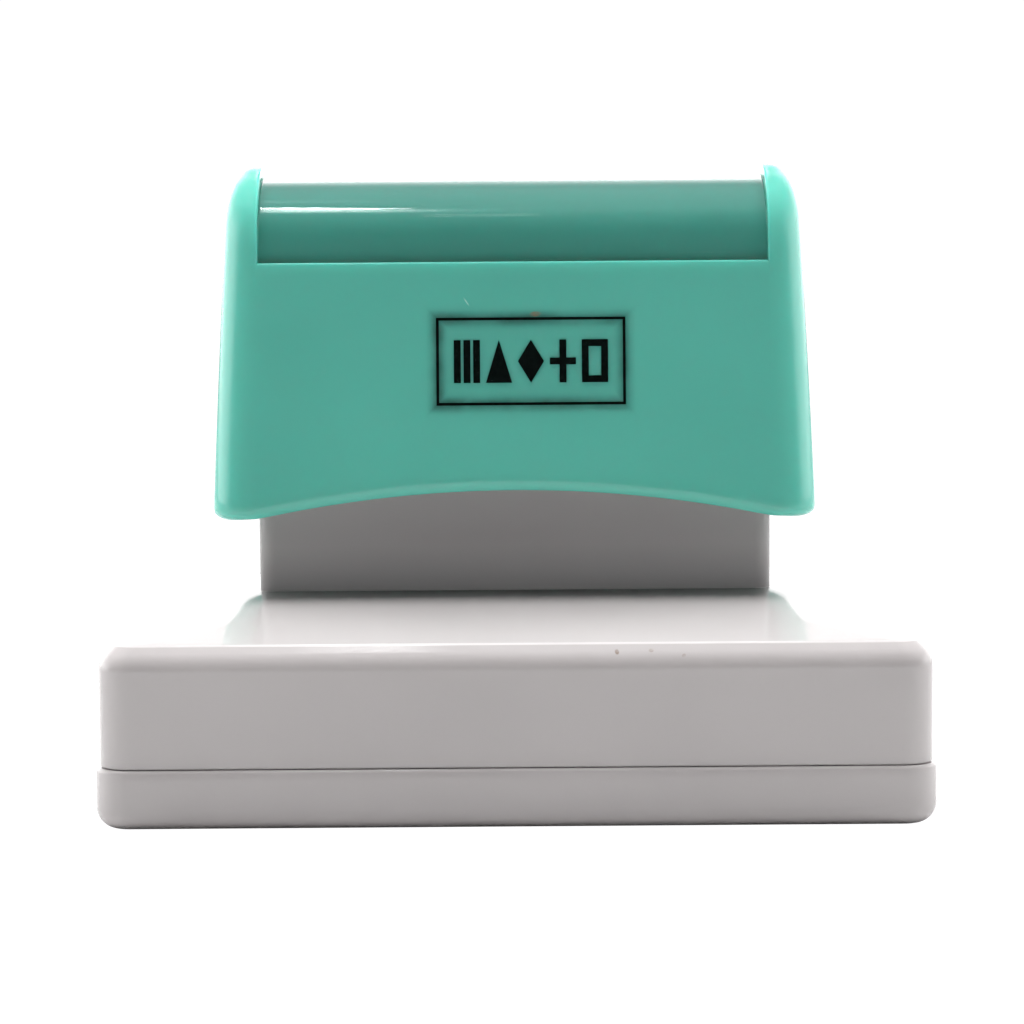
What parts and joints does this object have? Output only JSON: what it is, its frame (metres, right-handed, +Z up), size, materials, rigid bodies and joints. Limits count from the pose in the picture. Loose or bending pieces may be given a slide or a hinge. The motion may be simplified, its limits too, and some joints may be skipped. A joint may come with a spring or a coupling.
{
  "type": "pre-inked hand stamp",
  "caption": "Rectangular office stamp: a spring-loaded green handle with a clear label window slides on the neck of a grey frame that holds the inked print foam, over a lift-off dust cap.",
  "frame": {"origin": "centre of the dust cap's underside, where the stamp stands", "axes": "+X along the long side of the print, -Y the front with the marking film, +Z up along the handle's stroke"},
  "size_m": [0.0888, 0.0638, 0.0696],
  "materials": {
    "light_grey_abs": "glossy moulded ABS, light warm grey",
    "mint_green_abs": "glossy moulded ABS, mint green",
    "clear_styrene": "clear polished styrene",
    "label_film": "clear self-adhesive film with a printed outline",
    "inner_grey_abs": "plain moulded ABS",
    "zinc_steel": "bright zinc plate",
    "print_foam": "matt microporous foam",
    "ink_foam": "felted foam soaked with dark ink"
  },
  "bodies": {
    "cap": {"dust_cap": "light_grey_abs"},
    "frame": {"base_frame": "light_grey_abs", "return_spring_1": "zinc_steel", "return_spring_2": "zinc_steel", "return_spring_3": "zinc_steel", "return_spring_4": "zinc_steel"},
    "handle": {"handle_shell": "mint_green_abs", "marking_film": "label_film", "plunger_core": "inner_grey_abs", "mount_plate": "inner_grey_abs", "pad_tray": "inner_grey_abs", "print_foam": "print_foam", "ink_foam": "ink_foam", "handle_screw_left": "zinc_steel", "handle_screw_right": "zinc_steel", "mount_screw_1": "zinc_steel", "mount_screw_2": "zinc_steel", "mount_screw_3": "zinc_steel", "mount_screw_4": "zinc_steel"},
    "window": {"label_window": "clear_styrene"}
  },
  "joints": [
    {"name": "frame_lift", "type": "slide", "parent": "cap", "child": "frame", "axis": [0, 0, 1], "range_m": [0, 0.03]},
    {"name": "handle_press", "type": "slide", "parent": "frame", "child": "handle", "axis": [0, 0, -1], "range_m": [0, 0.0044], "stiffness_N_per_m": 2500, "springref_m": -0.004, "deforming": ["return_spring_1", "return_spring_2", "return_spring_3", "return_spring_4"]},
    {"name": "window_lift", "type": "slide", "parent": "handle", "child": "window", "axis": [0, 0, 1], "range_m": [0, 0.015]}
  ]
}
